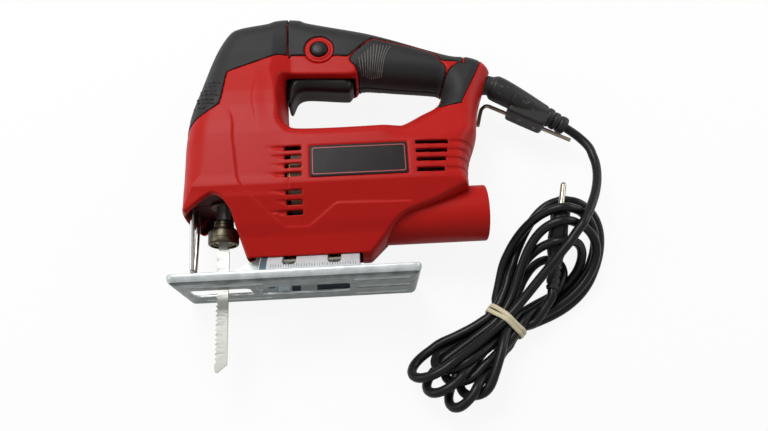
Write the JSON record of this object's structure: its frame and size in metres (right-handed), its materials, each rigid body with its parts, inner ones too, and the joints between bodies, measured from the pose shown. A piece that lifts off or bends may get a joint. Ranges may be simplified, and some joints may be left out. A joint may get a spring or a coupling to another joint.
{
  "type": "jigsaw power tool",
  "caption": "Corded jigsaw with a closed handle, soft grips, tilting sole plate, dust tube, toothed blade and a tied mains cord, lying on its right flank.",
  "frame": {"origin": "on the flat right flank, where the tool rests: 91 mm behind the blade axis and 76 mm above the sole's underside", "axes": "+X from the nose to the rear, +Y from the sole to the handle, +Z from the right flank to the left flank, up as the tool lies"},
  "size_m": [0.291, 0.2745, 0.062],
  "materials": {
    "red_shell": "moulded, fine satin grain",
    "soft_grip": "bonded soft grip, matt",
    "black_plate": "bare, low sheen",
    "black_plastic": "moulded satin",
    "cord_rubber": "extruded sheath, low sheen",
    "plated_pin": "nickel plated",
    "tie_band": "plain",
    "galvanised_steel": "zinc plated, satin",
    "steel": "turned, satin",
    "blade_steel": "ground, darkened",
    "bronze_collar": "dark bronze plated",
    "cast_aluminium": "as cast",
    "nylon": "moulded",
    "laminated_steel": "stacked sheet",
    "copper_wire": "enamelled copper",
    "carbon": "pressed carbon",
    "brass_plate": "pressed",
    "sintered_bronze": "sintered"
  },
  "bodies": {
    "housing": {"housing_left": "red_shell", "housing_right": "red_shell", "front_grip": "soft_grip", "top_grip": "soft_grip", "side_grip_left": "soft_grip", "side_grip_right": "soft_grip", "rear_grip_left": "soft_grip", "rear_grip_right": "soft_grip", "name_plate": "black_plate", "housing_screw_1": "steel", "housing_screw_2": "steel", "housing_screw_3": "steel", "housing_screw_4": "steel", "bearing_front": "steel", "bearing_rear": "steel", "stator_core": "laminated_steel", "field_coil_left": "copper_wire", "field_coil_right": "copper_wire", "brush_left": "carbon", "brush_holder_left": "brass_plate", "brush_right": "carbon", "brush_holder_right": "brass_plate", "gearbox_plate": "cast_aluminium", "gear_axle": "steel", "plunger_bush_lower": "sintered_bronze", "plunger_bush_upper": "sintered_bronze", "wire_guard": "steel", "guide_bracket": "galvanised_steel", "clamp_screw_front": "steel", "clamp_screw_rear": "steel", "dust_tube": "red_shell", "switch_body": "black_plastic", "cord_sleeve": "cord_rubber", "power_cord": "cord_rubber", "cord_clamp": "nylon", "mains_plug": "cord_rubber", "plug_pin_1": "plated_pin", "plug_pin_2": "plated_pin", "cord_bundle": "cord_rubber", "bundle_tie": "tie_band", "hex_key": "steel", "key_clip": "black_plastic"},
    "trigger": {"trigger": "black_plastic", "trigger_spring": "steel"},
    "lock_button": {"lock_button": "black_plastic"},
    "armature": {"armature_shaft": "steel", "pinion": "steel", "wound_armature": "laminated_steel", "commutator": "copper_wire", "cooling_fan": "nylon"},
    "crank": {"crank_gear": "steel", "crank_roller": "steel"},
    "plunger": {"plunger": "steel", "saw_blade": "blade_steel"},
    "blade_collar": {"blade_collar": "bronze_collar", "collar_spring": "steel"},
    "guide_roller": {"guide_roller": "steel"},
    "sole": {"sole_plate": "galvanised_steel", "tilt_cradle": "galvanised_steel"}
  },
  "joints": [
    {"name": "trigger_pull", "type": "hinge", "parent": "housing", "child": "trigger", "pos_m": [-0.0425, 0.076, 0.031], "axis": [0, 0, 1], "range_deg": [0, 6], "stiffness_Nm_per_rad": 0.4, "springref_deg": -5.73},
    {"name": "lock_button_press", "type": "slide", "parent": "housing", "child": "lock_button", "axis": [0, 0, -1], "range_m": [0, 0.004], "stiffness_N_per_m": 400, "springref_m": -0.001},
    {"name": "armature_spin", "type": "hinge", "parent": "housing", "child": "armature", "pos_m": [-0.031, -0.006, 0.031], "axis": [1, 0, 0], "continuous": true},
    {"name": "crank_spin", "type": "hinge", "parent": "housing", "child": "crank", "pos_m": [-0.075, 0.02212, 0.031], "axis": [1, 0, 0], "continuous": true},
    {"name": "plunger_stroke", "type": "slide", "parent": "housing", "child": "plunger", "axis": [0, 1, 0], "range_m": [-0.009, 0.009]},
    {"name": "collar_twist", "type": "hinge", "parent": "plunger", "child": "blade_collar", "pos_m": [-0.091, -0.038, 0.031], "axis": [0, 1, 0], "range_deg": [0, 60], "stiffness_Nm_per_rad": 0.1, "springref_deg": -5.73},
    {"name": "guide_roller_spin", "type": "hinge", "parent": "housing", "child": "guide_roller", "pos_m": [-0.082, -0.0666, 0.031], "axis": [0, 0, 1], "continuous": true},
    {"name": "sole_tilt", "type": "hinge", "parent": "housing", "child": "sole", "pos_m": [-0.041, -0.076, 0.031], "axis": [1, 0, 0], "range_deg": [-45, 45]}
  ],
  "couplings": [
    {"joint": "crank_spin", "follows": "armature_spin", "ratio": -0.25}
  ]
}
